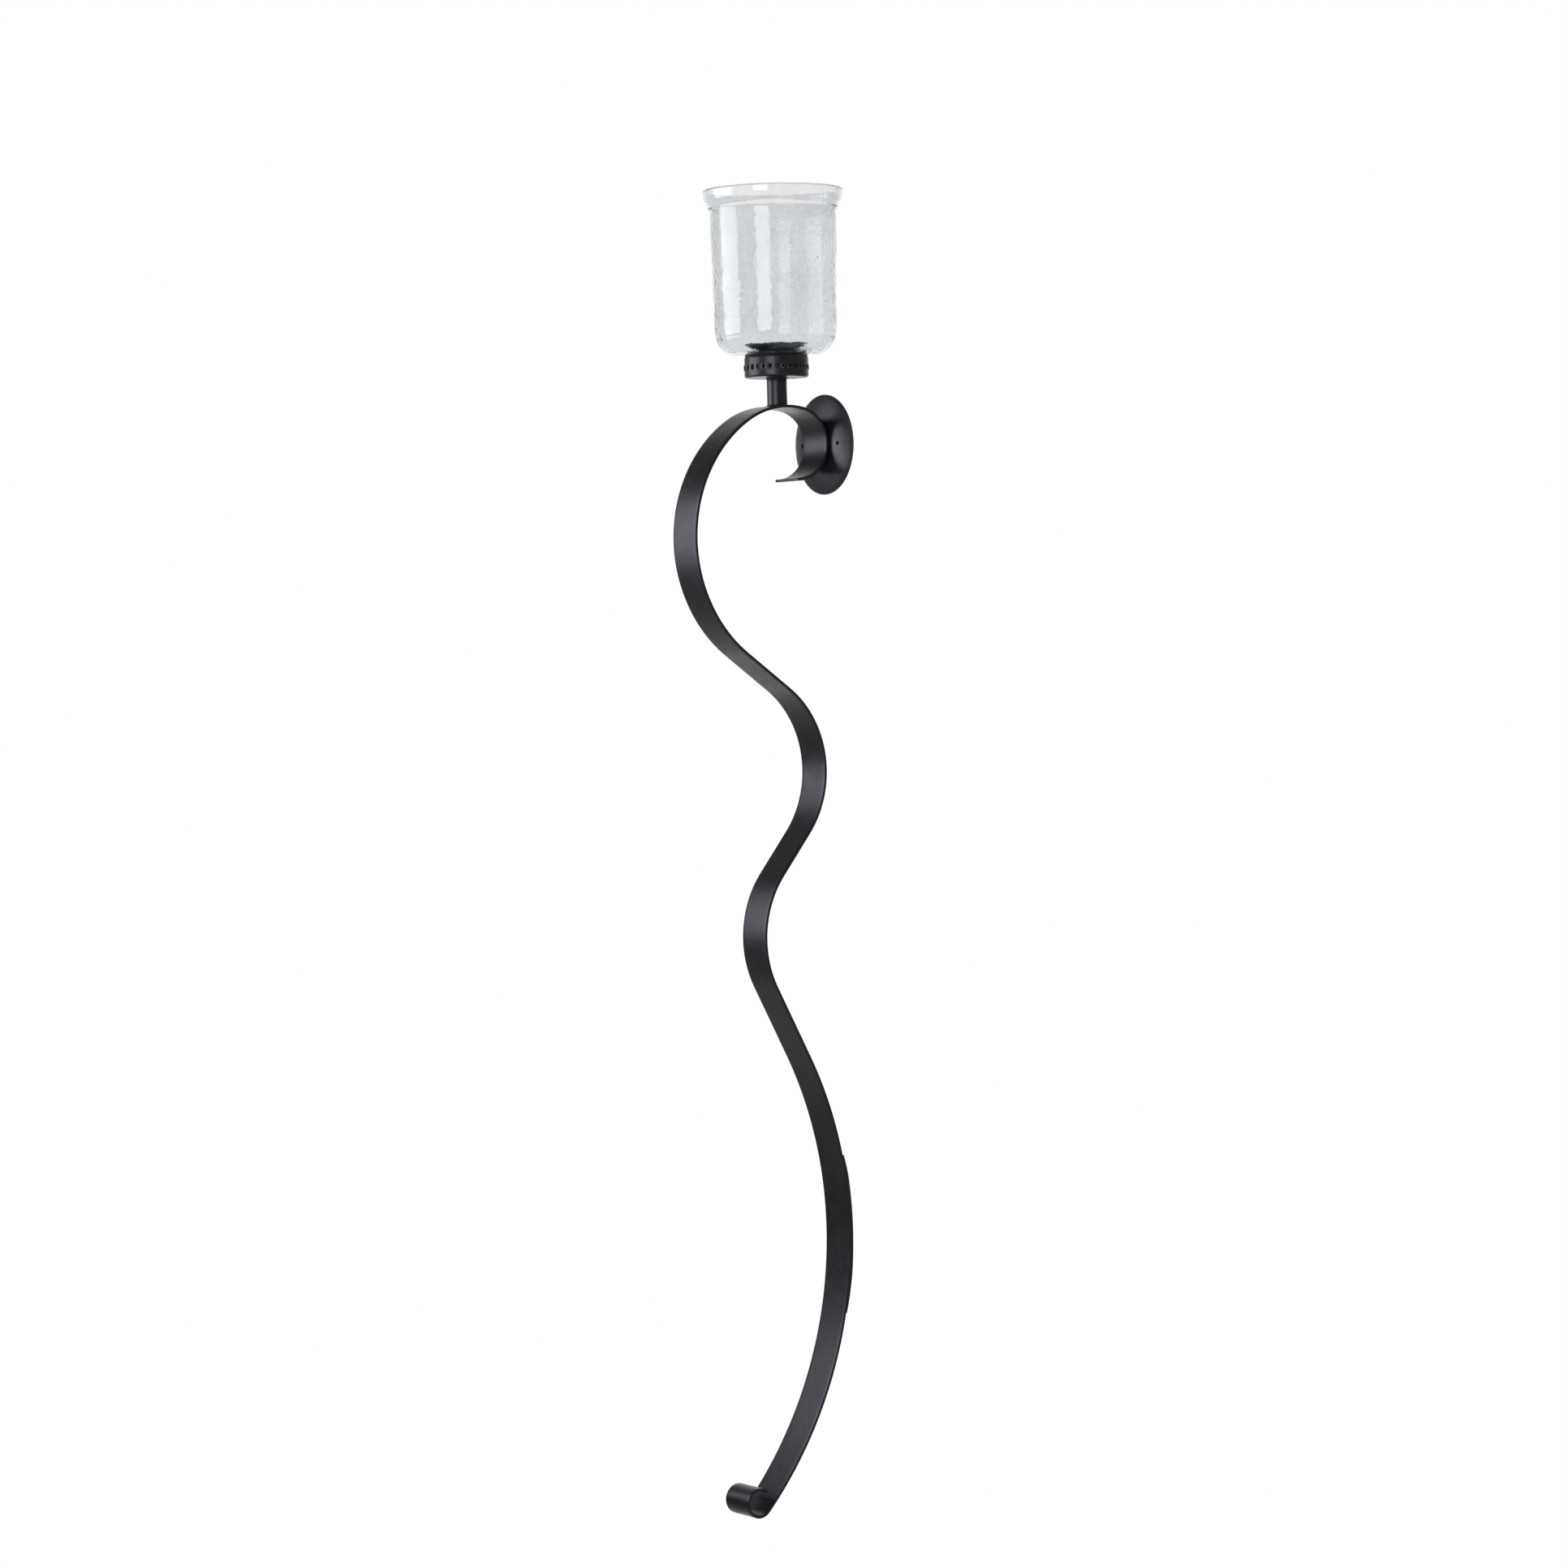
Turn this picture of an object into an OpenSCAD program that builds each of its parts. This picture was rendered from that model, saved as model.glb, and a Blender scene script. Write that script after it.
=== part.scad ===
// Wall sconce candle holder: a flat bar bent into a long wave hangs on a domed
// wall plate, and carries a pierced cup with a hurricane glass on its crest.
// Millimetres. +Z is up, the wall is the plane Y = 0 and the sconce stands out
// towards -Y. The origin is the centre of the wall plate's back.

/* [Strap] */
// Width of the flat bar
strap_w = 32; // [26:1:38]
// Thickness of the flat bar
strap_t = 2.4; // [1.8:0.1:3]
// Bend radius of the curl at the top, to the middle of the bar
curl_r = 28.5; // [26:0.5:31]
// Bend radius of the shoulder that carries the stem
shoulder_r = 71.5; // [60:0.5:85]
// Bend radius of the big bow in front
bow_r = 111.5; // [105:0.5:115]
// Bend radius of the waist
waist_r = 80; // [74:0.5:86]
// Bend radius of the lower swell
swell_r = 82; // [76:0.5:88]
// Bend radius of the long tail that rests on the wall
rest_r = 311; // [305:1:316]
// Bend radius of the rolled eye at the bottom
eye_r = 10.8; // [9:0.2:13]

/* [Wall plate] */
// Diameter of the domed plate
plate_d = 80; // [74:1:90]
// Height of the dome above the wall
plate_rise = 7.4; // [6:0.2:9]
// Sheet thickness of the plate
plate_t = 1.5; // [1.2:0.1:2]
// Diameter of the two wall screw holes
plate_hole_d = 3.2; // [2.8:0.1:4.2]
// Distance between the two wall screw holes
plate_hole_pitch = 49; // [46:0.5:54]

/* [Stem and cup] */
// Outer diameter of the stem tube
stem_d = 16; // [14:0.5:20]
// Wall thickness of the stem tube
stem_wall = 1.5; // [1.2:0.1:2]
// Clear height of the stem between strap and cup
stem_h = 22.2; // [16:0.2:30]
// Outer diameter of the pierced cup
cup_d = 51; // [46:0.5:56]
// Height of the pierced cup
cup_h = 16; // [14:0.5:20]
// Sheet thickness of the cup
cup_t = 0.8; // [0.6:0.1:1.6]
// Number of pierced holes round the cup
cup_holes = 30; // [20:1:32]

/* [Glass] */
// Height of the hurricane glass
glass_h = 132; // [110:1:150]
// Outer radius of the glass where the flare begins
glass_top_r = 51.2; // [49:0.1:54]
// Outer radius of the glass above its rounded bottom
glass_low_r = 49.2; // [47:0.1:51]
// Outer radius of the flared rim
glass_rim_r = 56.2; // [55:0.1:60]
// Wall thickness of the glass
glass_wall = 3; // [2.5:0.1:4]
// Thickness of the glass floor
glass_floor = 2.6; // [2.4:0.2:7]
// Diameter of the screw hole in the glass floor
glass_hole_d = 9; // [7:0.5:12]

/* [Candle pan and clamp screw] */
// Outer diameter of the candle pan
pan_d = 53; // [46:0.5:56]
// Diameter of the flat bottom of the candle pan
pan_foot_d = 36; // [32:0.5:46]
// Height of the candle pan
pan_h = 6.2; // [3:0.2:8]
// Sheet thickness of the candle pan
pan_t = 1.2; // [0.8:0.1:1.6]
// Thread diameter of the clamp screw
screw_d = 5; // [4:1:6]
// Length of the clamp screw under its head
screw_l = 35; // [33:1:37]
// Thickness of each rubber or felt washer
gasket_t = 0.8; // [0.5:0.1:1.5]

/* [Wall pad] */
// Length of the soft pad behind the tail
pad_l = 128; // [80:4:160]

/* [Hidden] */
$fn = 96;

black = "#2b2c30";
weld_black = "#35363b";
steel = "#a9abad";
rubber = "#1b1b1c";
felt = "#3a3a3d";
clear_glass = [0.82, 0.86, 0.88, 0.45];

// ---- Strap: runs of bar, each starting where the last one ends ----
// A run is [turn, radius or length, sweep]. turn is 1 for a bend to the left of
// the way the bar runs, -1 to the right, 0 for a straight. All bends lie in the
// Y-Z plane, and headings are degrees from +Y towards +Z.
curl_sweep = 170.8;
shoulder_sweep = 43.5;
bow_sweep = 111.6;
ramp_l = 49.2;
waist_sweep = 92.4;
link_l = 41.5;
swell_sweep = 66.2;
drop_l = 64;
rest_sweep = 71;
eye_sweep = 268;
strap_runs = [
    [1, curl_r, curl_sweep],
    [1, shoulder_r, shoulder_sweep],
    [1, bow_r, bow_sweep],
    [0, ramp_l, 0],
    [-1, waist_r, waist_sweep],
    [0, link_l, 0],
    [1, swell_r, swell_sweep],
    [0, drop_l, 0],
    [-1, rest_r, rest_sweep],
    [-1, eye_r, eye_sweep]
];
shoulder_run = 1;
rest_run = 8;

// The curl's outer face touches the top of the dome at the height of the origin.
curl_y = -(plate_rise + strap_t / 2 + curl_r);
tip_heading = -2;
strap_start = [curl_y + curl_r * sin(tip_heading), -curl_r * cos(tip_heading), tip_heading];

// Centre of a bend that starts at pose p = [y, z, heading]
function bend_centre(p, run) =
    [p[0] - run[0] * run[1] * sin(p[2]), p[1] + run[0] * run[1] * cos(p[2])];

// Pose at the end of one run
function run_end(p, run) =
    run[0] == 0
    ? [p[0] + run[1] * cos(p[2]), p[1] + run[1] * sin(p[2]), p[2]]
    : let (c = bend_centre(p, run), h = p[2] + run[0] * run[2])
      [c[0] + run[0] * run[1] * sin(h), c[1] - run[0] * run[1] * cos(h), h];

// Pose at the start of run n
function run_start(n) = n == 0 ? strap_start : run_end(run_start(n - 1), strap_runs[n - 1]);

// Sweep of one facet of a bend, whose chord stays within chord_gap of the true arc
chord_gap = 0.02;
function facet_sweep(r) = 2 * acos(1 - chord_gap / r);

// Poses along one run, without its last one
function run_poses(p, run) =
    run[0] == 0
    ? [p]
    : let (facets = ceil(run[2] / facet_sweep(run[1])))
      [for (i = [0:facets - 1]) run_end(p, [run[0], run[1], run[2] * i / facets])];

// Poses along the whole strap, and one long side of it, offset from its middle line
strap_poses = [
    for (n = [0:len(strap_runs) - 1]) each run_poses(run_start(n), strap_runs[n]),
    run_start(len(strap_runs))
];
function strap_side(d) =
    [for (p = strap_poses) [p[0] - d * sin(p[2]), p[1] + d * cos(p[2])]];
function reversed(v) = [for (i = [len(v) - 1:-1:0]) v[i]];

shoulder_c = bend_centre(run_start(shoulder_run), strap_runs[shoulder_run]);
rest_c = bend_centre(run_start(rest_run), strap_runs[rest_run]);

// The stem stands on the highest line of the shoulder.
stem_y = shoulder_c[0];
crest_r = shoulder_r + strap_t / 2;
crest_z = shoulder_c[1] + crest_r;

// The pad fills the space between the tail's wall side and the wall.
rest_back_r = rest_r + strap_t / 2;
pad_min_t = 0.8;
pad_t = max(pad_min_t, -(rest_c[0] + rest_back_r));
pad_sweep = pad_l / rest_back_r * 180 / PI;

// ---- Levels of the stack on the stem, from the strap upwards ----
cup_z = crest_z + stem_h;
glass_z = cup_z + cup_h + gasket_t;
pan_z = glass_z + glass_floor + gasket_t;
washer_z = pan_z + pan_t;
washer_t = 0.6;
head_z = washer_z + washer_t;

// ---- Facets round a circle, and steps along an arc of the glass ----
fn_hole = 48;
fn_bead = 32;
fn_plate = 180;
fn_bend = 360;
fn_dome = 720;
corner_steps = 12;
flare_steps = 8;
lip_steps = 12;

// ---- Small parts ----
// How far a cutting tool runs past what it cuts, and how far joined shapes lap
over = 1;
rim_lap = 0.5;
cap_lap = 0.2;
rim_w = 1.6;
cap_r = plate_d / 2 - rim_w;
cap_rise = plate_rise - plate_t;
dome_r = (pow(cap_r, 2) + pow(cap_rise, 2)) / (2 * cap_rise);
bead_r = 1.9;
bead_l = 18;
bead_z = 8.5;
bead_out = 0.5;
fillet_leg = 1.1;
// Collar drawn inwards round each screw hole, measured from the wall
collar_d = 5;
collar_low = 0.9;
collar_high = 4.25;
// How far the stem and its foot weld reach below the crest before the strap cuts them
stem_sink = 1.5;
weld_sink = 0.6;
nut_h = 12;
thread_gap = 0.05;
cup_clear_d = 5.6;
hole_w = 2.2;
hole_h = 4.2;
// Angle of the first hole from +X
hole_turn = 1.5;
gasket_w = 4;
// Outer diameter of the felt ring, a little inside the cup's edge
gasket_d = cup_d - 1;
pan_gasket_d = 28;
washer_d = 9;
head_d = 10;
head_h = 1.8;
recess_l = 4.6;
recess_w = 1.1;
recess_h = 1.2;
flare_h = 20;
lip_h = 4;
bottom_r = 21;

// Puts a drawing made in the Y-Z plane, with its thickness along Z, upright
module side_on() {
    rotate([90, 0, 90]) children();
}

// Weld fillet round a tube of radius r, standing on Z = 0
module weld_fillet(r) {
    difference() {
        cylinder(r1 = r + fillet_leg, r2 = r, h = fillet_leg);
        translate([0, 0, -over]) cylinder(r = r, h = fillet_leg + 2 * over);
    }
}

// The round surface of the shoulder, longer than the stem is wide
module shoulder_round() {
    translate([0, shoulder_c[0], shoulder_c[1]])
        rotate([0, 90, 0])
            cylinder(r = crest_r, h = 2 * strap_w, center = true, $fn = fn_bend);
}

module stem_axis() {
    translate([0, stem_y, 0]) children();
}

// Flat round washer standing on Z = 0
module washer(d_out, d_in, h) {
    difference() {
        cylinder(d = d_out, h = h);
        translate([0, 0, -over]) cylinder(d = d_in, h = h + 2 * over);
    }
}

// ---- Sub-parts ----
module scroll_arm() {
    color(black)
        side_on()
            translate([0, 0, -strap_w / 2])
                linear_extrude(strap_w)
                    polygon(concat(strap_side(strap_t / 2), reversed(strap_side(-strap_t / 2))));
}

// A spherical cap of sheet with a narrow flat rim on the wall, and two screw holes
module wall_plate() {
    color(black)
        rotate([90, 0, 0])
            difference() {
                union() {
                    washer(plate_d, 2 * (cap_r - rim_lap), plate_t);
                    rotate_extrude($fn = fn_plate)
                        intersection() {
                            square([cap_r + cap_lap, plate_rise]);
                            translate([0, plate_rise - dome_r])
                                difference() {
                                    circle(dome_r, $fn = fn_dome);
                                    circle(dome_r - plate_t, $fn = fn_dome);
                                }
                        }
                    for (side = [-1, 1])
                        translate([side * plate_hole_pitch / 2, 0, collar_low])
                            cylinder(d = collar_d, h = collar_high - collar_low, $fn = fn_hole);
                }
                for (side = [-1, 1])
                    translate([side * plate_hole_pitch / 2, 0, -over])
                        cylinder(d = plate_hole_d, h = plate_rise + 2 * over, $fn = fn_hole);
            }
}

// Two beads in the wedge between curl and dome, above and below the touching line
module plate_welds() {
    color(weld_black)
        for (side = [-1, 1])
            difference() {
                translate([0, -plate_rise - bead_out, side * bead_z])
                    rotate([0, 90, 0])
                        union() {
                            cylinder(r = bead_r, h = bead_l, center = true, $fn = fn_bead);
                            for (end = [-1, 1])
                                translate([0, 0, end * bead_l / 2])
                                    sphere(r = bead_r, $fn = fn_bead);
                        }
                translate([0, curl_y, 0])
                    rotate([0, 90, 0])
                        cylinder(r = curl_r + strap_t / 2, h = 2 * strap_w, center = true,
                                 $fn = fn_bend);
                translate([0, dome_r - plate_rise, 0])
                    sphere(r = dome_r, $fn = fn_bend);
            }
}

module stem_tube() {
    color(black)
        difference() {
            stem_axis()
                translate([0, 0, crest_z - stem_sink])
                    washer(stem_d, stem_d - 2 * stem_wall, stem_h + stem_sink);
            shoulder_round();
        }
}

module stem_foot_weld() {
    color(weld_black)
        difference() {
            stem_axis()
                translate([0, 0, crest_z - weld_sink])
                    weld_fillet(stem_d / 2);
            shoulder_round();
        }
}

module stem_head_weld() {
    color(weld_black)
        stem_axis()
            translate([0, 0, cup_z])
                mirror([0, 0, 1])
                    weld_fillet(stem_d / 2);
}

// Threaded plug fixed in the top of the stem
module stem_nut() {
    color(steel)
        stem_axis()
            translate([0, 0, cup_z - nut_h])
                washer(stem_d - 2 * stem_wall, screw_d + 2 * thread_gap, nut_h);
}

// Pressed cup with a flat floor and a row of diamond holes
module pierced_cup() {
    color(black)
        stem_axis()
            translate([0, 0, cup_z])
                difference() {
                    cylinder(d = cup_d, h = cup_h);
                    translate([0, 0, cup_t])
                        cylinder(d = cup_d - 2 * cup_t, h = cup_h);
                    translate([0, 0, -over])
                        cylinder(d = cup_clear_d, h = cup_t + 2 * over, $fn = fn_hole);
                    for (n = [0:cup_holes - 1])
                        rotate([0, 0, hole_turn + n * 360 / cup_holes])
                            translate([cup_d / 2 - 2 * cup_t, 0, cup_h / 2])
                                rotate([90, 0, 90])
                                    linear_extrude(3 * cup_t)
                                        polygon([[0, hole_h / 2], [hole_w / 2, 0],
                                                 [0, -hole_h / 2], [-hole_w / 2, 0]]);
                }
}

// Felt ring glued under the glass, resting on the edge of the cup
module glass_gasket() {
    color(felt)
        stem_axis()
            translate([0, 0, cup_z + cup_h])
                washer(gasket_d, cup_d - 2 * gasket_w, gasket_t);
}

// Points of an arc of radius r round (x, z), from angle a0 to a1
function arc_points(x, z, r, a0, a1, steps) =
    [for (i = [0:steps]) let (a = a0 + (a1 - a0) * i / steps) [x + r * cos(a), z + r * sin(a)]];

// The flare leaves the wall upright, bends out, then bends back to an upright lip.
flare_reach = glass_rim_r - glass_top_r;
flare_rise = flare_h - lip_h;
flare_angle = 2 * atan(flare_reach / flare_rise);
flare_r = flare_rise / sin(flare_angle) / 2;
flare_x = glass_top_r - glass_wall / 2 + flare_r;
flare_z = glass_h - flare_h;

// Middle line of the flare, moved outwards by d
function flare_points(d) =
    concat(arc_points(flare_x, flare_z, flare_r - d, 180, 180 - flare_angle, flare_steps),
           arc_points(flare_x - 2 * flare_r * cos(flare_angle), flare_z + flare_rise,
                      flare_r + d, -flare_angle, 0, flare_steps));

// Blown glass: rounded bottom, slightly tapered wall and a flared lip with a fire-polished rim
module hurricane_glass() {
    inner_r = bottom_r - glass_wall;
    outline = concat(
        [[glass_hole_d / 2, 0]],
        arc_points(glass_low_r - bottom_r, bottom_r, bottom_r, 270, 360, corner_steps),
        flare_points(glass_wall / 2),
        arc_points(glass_rim_r - glass_wall / 2, glass_h - glass_wall / 2, glass_wall / 2,
                   0, 180, lip_steps),
        reversed(flare_points(-glass_wall / 2)),
        arc_points(glass_low_r - bottom_r, glass_floor + inner_r, inner_r, 360, 270,
                   corner_steps),
        [[glass_hole_d / 2, glass_floor]]
    );
    color(clear_glass)
        stem_axis()
            translate([0, 0, glass_z])
                rotate_extrude()
                    polygon(outline);
}

// Rubber washer between the glass floor and the candle pan
module pan_gasket() {
    color(rubber)
        stem_axis()
            translate([0, 0, glass_z + glass_floor])
                washer(pan_gasket_d, cup_clear_d, gasket_t);
}

// Shallow pan with a sloping side, open at the top
module candle_pan() {
    slope = (pan_d - pan_foot_d) / 2 / pan_h;
    color(black)
        stem_axis()
            translate([0, 0, pan_z])
                rotate_extrude()
                    polygon([[cup_clear_d / 2, 0], [pan_foot_d / 2, 0],
                             [pan_d / 2, pan_h], [pan_d / 2 - pan_t, pan_h],
                             [pan_foot_d / 2 - pan_t + slope * pan_t, pan_t],
                             [cup_clear_d / 2, pan_t]]);
}

module spring_washer() {
    color(steel)
        stem_axis()
            translate([0, 0, washer_z])
                washer(washer_d, cup_clear_d, washer_t);
}

// Low-headed screw with a cross recess, down through the stack into the stem
module clamp_screw() {
    color(steel)
        stem_axis()
            translate([0, 0, head_z])
                difference() {
                    union() {
                        cylinder(d = head_d, h = head_h);
                        translate([0, 0, -screw_l])
                            cylinder(d = screw_d, h = screw_l + head_h / 2, $fn = fn_hole);
                    }
                    for (turn = [0, 90])
                        rotate([0, 0, turn])
                            translate([-recess_l / 2, -recess_w / 2, head_h - recess_h])
                                cube([recess_l, recess_w, head_h]);
                }
}

// Soft strip behind the tail where it comes nearest to the wall
module wall_pad() {
    color(felt)
        side_on()
            translate([rest_c[0], rest_c[1], 0])
                rotate_extrude(angle = pad_sweep, start = -pad_sweep / 2, $fn = fn_dome)
                    translate([rest_back_r, -strap_w / 2])
                        square([pad_t, strap_w]);
}

scroll_arm();
wall_plate();
plate_welds();
stem_tube();
stem_foot_weld();
stem_head_weld();
stem_nut();
pierced_cup();
glass_gasket();
hurricane_glass();
pan_gasket();
candle_pan();
spring_washer();
clamp_screw();
wall_pad();
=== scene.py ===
"""Wall sconce candle holder: the looks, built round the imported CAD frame.

Metres, +Z up. The wall is the plane Y = 0 and the sconce stands out towards -Y.
"""

import math
import random

import bmesh
import bpy
from mathutils import Matrix, Vector, noise


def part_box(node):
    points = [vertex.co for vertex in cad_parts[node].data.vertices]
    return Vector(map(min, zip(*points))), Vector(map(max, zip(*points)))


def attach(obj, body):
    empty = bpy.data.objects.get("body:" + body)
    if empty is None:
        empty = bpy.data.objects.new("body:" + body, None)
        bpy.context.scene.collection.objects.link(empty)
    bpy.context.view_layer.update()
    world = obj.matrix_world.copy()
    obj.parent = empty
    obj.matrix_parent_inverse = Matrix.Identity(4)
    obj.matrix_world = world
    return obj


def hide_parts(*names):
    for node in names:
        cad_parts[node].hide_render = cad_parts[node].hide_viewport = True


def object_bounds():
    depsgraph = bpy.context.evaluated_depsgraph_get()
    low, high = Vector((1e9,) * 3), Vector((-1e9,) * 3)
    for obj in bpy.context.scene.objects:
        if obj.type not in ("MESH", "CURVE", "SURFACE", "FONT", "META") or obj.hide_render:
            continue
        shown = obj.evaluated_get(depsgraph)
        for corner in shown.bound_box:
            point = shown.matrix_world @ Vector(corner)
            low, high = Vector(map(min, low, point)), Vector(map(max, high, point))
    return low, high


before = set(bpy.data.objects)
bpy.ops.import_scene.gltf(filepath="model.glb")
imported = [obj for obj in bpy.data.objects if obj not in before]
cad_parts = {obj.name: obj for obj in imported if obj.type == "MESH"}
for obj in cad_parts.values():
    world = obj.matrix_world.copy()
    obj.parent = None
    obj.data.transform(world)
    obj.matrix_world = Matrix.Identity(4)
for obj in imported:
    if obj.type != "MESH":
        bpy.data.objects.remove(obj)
cad_lo, cad_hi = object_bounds()

MM = 0.001
random.seed(7)


# ---------------------------------------------------------------- sizes from the frame
arm_lo, arm_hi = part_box("scroll_arm")
plate_lo, plate_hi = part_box("wall_plate")
stem_lo, stem_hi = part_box("stem_tube")
nut_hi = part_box("stem_nut")[1]
cup_lo, cup_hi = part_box("pierced_cup")
glass_lo, glass_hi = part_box("hurricane_glass")
ring_lo, ring_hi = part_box("glass_gasket")
pan_lo, pan_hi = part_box("candle_pan")
pan_ring_lo, pan_ring_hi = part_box("pan_gasket")
washer_lo, washer_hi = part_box("spring_washer")
screw_lo, screw_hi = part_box("clamp_screw")
pad_lo, pad_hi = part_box("wall_pad")

stem_y = ((stem_lo + stem_hi) / 2).y
crest_z = arm_hi.z
strap_w = arm_hi.x - arm_lo.x
strap_t = 2.4 * MM
strap_edge_r = 0.55 * MM
plate_r = plate_hi.x
plate_rise = -plate_lo.y
plate_t = 1.5 * MM
plate_rim_w = 1.6 * MM
plate_hole_r = 1.6 * MM
plate_hole_x = 24.5 * MM
collar_r = 2.5 * MM
collar_low = 0.9 * MM
collar_high = 4.2 * MM
stem_r = stem_hi.x
stem_wall = stem_r - nut_hi.x
cup_r = cup_hi.x
cup_t = 0.8 * MM
screw_hole_r = 2.8 * MM
glass_hole_r = 4.5 * MM
glass_wall = 3 * MM
glass_floor = pan_ring_lo.z - glass_lo.z
screw_r = 2.5 * MM

# The camera's direction round the object, in degrees. The lights are placed from it.
CAMERA_AZ = 55.5


# ---------------------------------------------------------------- mesh helpers
def skin(rings, loop=False, closed=True, caps=True):
    """Faces between neighbouring rings of points. loop joins the last ring to the first.

    closed joins each ring's last point to its first, and caps closes the two end rings.
    """
    n = len(rings[0])
    m = len(rings)
    verts = [p for ring in rings for p in ring]
    faces = []
    for i in range(m if loop else m - 1):
        a = i * n
        b = (i + 1) % m * n
        for k in range(n if closed else n - 1):
            k2 = (k + 1) % n
            faces.append((a + k, a + k2, b + k2, b + k))
    if caps and not loop:
        faces.append(tuple(reversed(range(n))))
        faces.append(tuple(range((m - 1) * n, m * n)))
    return verts, faces


def turned(outline, steps, at, shift=None, closed=True, start=0.0):
    """An outline of (radius, height) points turned round the vertical through at.

    shift(angle, radius, height) may move each point.
    """
    rings = []
    for k in range(steps):
        a = start + 2 * math.pi * k / steps
        ring = []
        for r, z in outline:
            if shift:
                r, z = shift(a, r, z)
            ring.append(Vector((at[0] + r * math.cos(a), at[1] + r * math.sin(a), at[2] + z)))
        rings.append(ring)
    return skin(rings, loop=True, closed=closed)


def arc(cx, cy, r, a0, a1, steps):
    """Points of an arc from angle a0 to a1, in degrees."""
    out = []
    for i in range(steps + 1):
        a = math.radians(a0 + (a1 - a0) * i / steps)
        out.append((cx + r * math.cos(a), cy + r * math.sin(a)))
    return out


def rounded(corners, steps=4):
    """A closed outline from (x, y, radius) corners, each rounded to its radius."""
    out = []
    n = len(corners)
    for i in range(n):
        a, b, c = (Vector(corners[(i + d) % n][:2]) for d in (-1, 0, 1))
        r = corners[i][2]
        if r <= 0:
            out.append(tuple(b))
            continue
        u = (a - b).normalized()
        v = (c - b).normalized()
        half = u.angle(v) / 2
        mid = b + (u + v).normalized() * (r / math.sin(half))
        p = b + u * (r / math.tan(half)) - mid
        q = b + v * (r / math.tan(half)) - mid
        a0 = math.atan2(p.y, p.x)
        turn = math.atan2(p.x * q.y - p.y * q.x, p.dot(q))
        for k in range(steps + 1):
            t = a0 + turn * k / steps
            out.append((mid.x + r * math.cos(t), mid.y + r * math.sin(t)))
    return out


def spread(outline, longest, closed=True):
    """The outline with extra points, so that no side is longer than longest."""
    out = []
    n = len(outline)
    for i in range(n if closed else n - 1):
        a = Vector(outline[i])
        b = Vector(outline[(i + 1) % n])
        parts = max(1, math.ceil((b - a).length / longest))
        out += [tuple(a.lerp(b, k / parts)) for k in range(parts)]
    if not closed:
        out.append(tuple(outline[-1]))
    return out


def lying(shell):
    """A shell turned round the vertical, laid over so that its top faces away from the wall."""
    verts, faces = shell
    return [Vector((v.x, -v.z, v.y)) for v in verts], faces


def piece(name, parts, body, nodes, material, sharp=35, voids=()):
    """One object from several (verts, faces) shells. voids are closed bubbles inside it."""
    bm = bmesh.new()
    for group in (parts, voids):
        for verts, faces in group:
            made = [bm.verts.new(v) for v in verts]
            for f in faces:
                bm.faces.new([made[i] for i in f])
        if group is parts:
            bmesh.ops.remove_doubles(bm, verts=bm.verts, dist=1e-7)
            bmesh.ops.dissolve_degenerate(bm, edges=bm.edges, dist=1e-8)
            bmesh.ops.recalc_face_normals(bm, faces=bm.faces)
    mesh = bpy.data.meshes.new(name)
    bm.to_mesh(mesh)
    bm.free()
    mesh.shade_smooth()
    mesh.set_sharp_from_angle(angle=math.radians(sharp))
    obj = bpy.data.objects.new(name, mesh)
    bpy.context.scene.collection.objects.link(obj)
    mesh.materials.append(material)
    if body:
        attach(obj, body)
        if nodes:
            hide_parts(*nodes)
    return obj


def cut(obj, shells):
    """Cuts closed shells out of obj, and removes them."""
    tools = []
    for n, shell in enumerate(shells):
        tool = piece("cutter_%d" % n, [shell], None, (), obj.data.materials[0])
        mod = obj.modifiers.new("cut_%d" % n, "BOOLEAN")
        mod.operation = "DIFFERENCE"
        mod.solver = "EXACT"
        mod.object = tool
        tools.append(tool)
    graph = bpy.context.evaluated_depsgraph_get()
    mesh = bpy.data.meshes.new_from_object(obj.evaluated_get(graph))
    obj.modifiers.clear()
    mesh.set_sharp_from_angle(angle=math.radians(30))
    obj.data = mesh
    for tool in tools:
        bpy.data.objects.remove(tool)


def wave(p, size, seed=0.0):
    """Smooth noise from -1 to 1 whose bumps are about size across."""
    return noise.noise(Vector(p) / size + Vector((seed, seed * 0.7, seed * 1.3)))


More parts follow.
